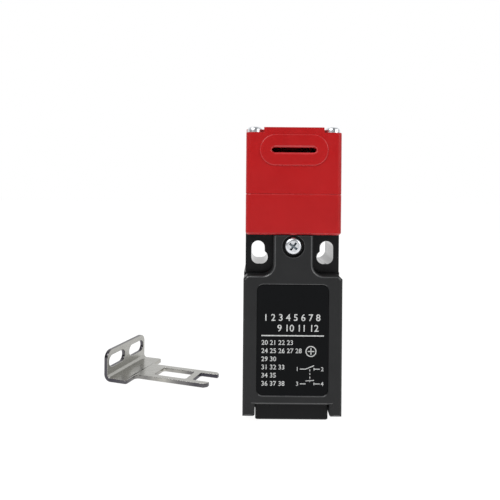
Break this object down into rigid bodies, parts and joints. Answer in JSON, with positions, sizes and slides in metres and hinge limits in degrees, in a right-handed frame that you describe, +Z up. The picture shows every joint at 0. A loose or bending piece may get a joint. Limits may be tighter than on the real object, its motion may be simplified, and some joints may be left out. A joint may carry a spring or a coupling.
{
  "type": "tongue interlock switch",
  "caption": "Slim safety position switch with a red slotted key head, a screwed front cover, a conduit entry in its foot and a loose bent forked key.",
  "frame": {"origin": "on the conduit entry's axis, at the face of its boss, which is the foot the switch stands on", "axes": "+X across the front to the right, +Y from the cover towards the back, +Z up from the conduit entry to the head"},
  "size_m": [0.0849, 0.0596, 0.0929],
  "materials": {
    "red_plastic": "satin moulded glass-filled nylon",
    "black_plastic": "fine-textured moulded glass-filled nylon",
    "natural_plastic": "natural acetal, lightly polished by sliding",
    "block_plastic": "ivory moulded melamine",
    "plate_film": "glossy black film with fine white rules",
    "rubber": "black nitrile rubber",
    "zinc_steel": "bright zinc-plated steel",
    "spring_steel": "drawn spring wire",
    "key_steel": "tumbled stainless sheet",
    "brass": "stamped brass",
    "contact_metal": "brass with silver rivets"
  },
  "bodies": {
    "switch_body": {"body_housing": "black_plastic", "cover_gasket": "rubber", "cover_insert": "brass", "head_lower": "red_plastic", "head_upper": "red_plastic", "head_corner_screws": "zinc_steel", "head_floor_screws": "zinc_steel", "head_seal": "rubber", "plunger_wiper": "rubber", "cam_axle": "zinc_steel", "return_spring": "spring_steel", "lock_spring_left": "spring_steel", "lock_spring_right": "spring_steel", "contact_base": "block_plastic", "nc_terminal_left": "contact_metal", "nc_terminal_right": "contact_metal", "no_terminal_left": "contact_metal", "no_terminal_right": "contact_metal", "terminal_screws": "zinc_steel", "clamp_plates": "zinc_steel"},
    "cover": {"front_cover": "black_plastic", "cover_screw": "zinc_steel", "rating_plate": "plate_film"},
    "cam": {"cam_wheel": "natural_plastic"},
    "push_rod": {"plunger": "natural_plastic", "contact_carrier": "natural_plastic", "nc_bridge": "contact_metal", "no_bridge": "contact_metal", "nc_contact_spring": "spring_steel", "no_contact_spring": "spring_steel"},
    "left_lock": {"lock_slide_left": "natural_plastic"},
    "right_lock": {"lock_slide_right": "natural_plastic"},
    "key": {"tongue_key": "key_steel"}
  },
  "joints": [
    {"name": "cam_turn", "type": "hinge", "parent": "switch_body", "child": "cam", "pos_m": [0, -0.0022, 0.0784], "axis": [-1, 0, 0], "range_deg": [0, 61.21]},
    {"name": "push_rod_slide", "type": "slide", "parent": "switch_body", "child": "push_rod", "axis": [0, 0, 1], "range_m": [0, 0.003], "deforming": ["return_spring"]},
    {"name": "left_lock_slide", "type": "slide", "parent": "switch_body", "child": "left_lock", "axis": [-1, 0, 0], "range_m": [0, 0.0022], "stiffness_N_per_m": 200, "springref_m": -0.001, "deforming": ["lock_spring_left"]},
    {"name": "right_lock_slide", "type": "slide", "parent": "switch_body", "child": "right_lock", "axis": [1, 0, 0], "range_m": [0, 0.0022], "stiffness_N_per_m": 200, "springref_m": -0.001, "deforming": ["lock_spring_right"]},
    {"name": "cover_off", "type": "slide", "parent": "switch_body", "child": "cover", "axis": [0, -1, 0], "range_m": [0, 0.04]},
    {"name": "key_draw", "type": "slide", "parent": "switch_body", "child": "key", "axis": [-0.9494, 0.314, 0], "range_m": [0, 0.028]}
  ],
  "couplings": [
    {"joint": "cam_turn", "follows": "push_rod_slide", "rad_per_m": 356.1}
  ]
}
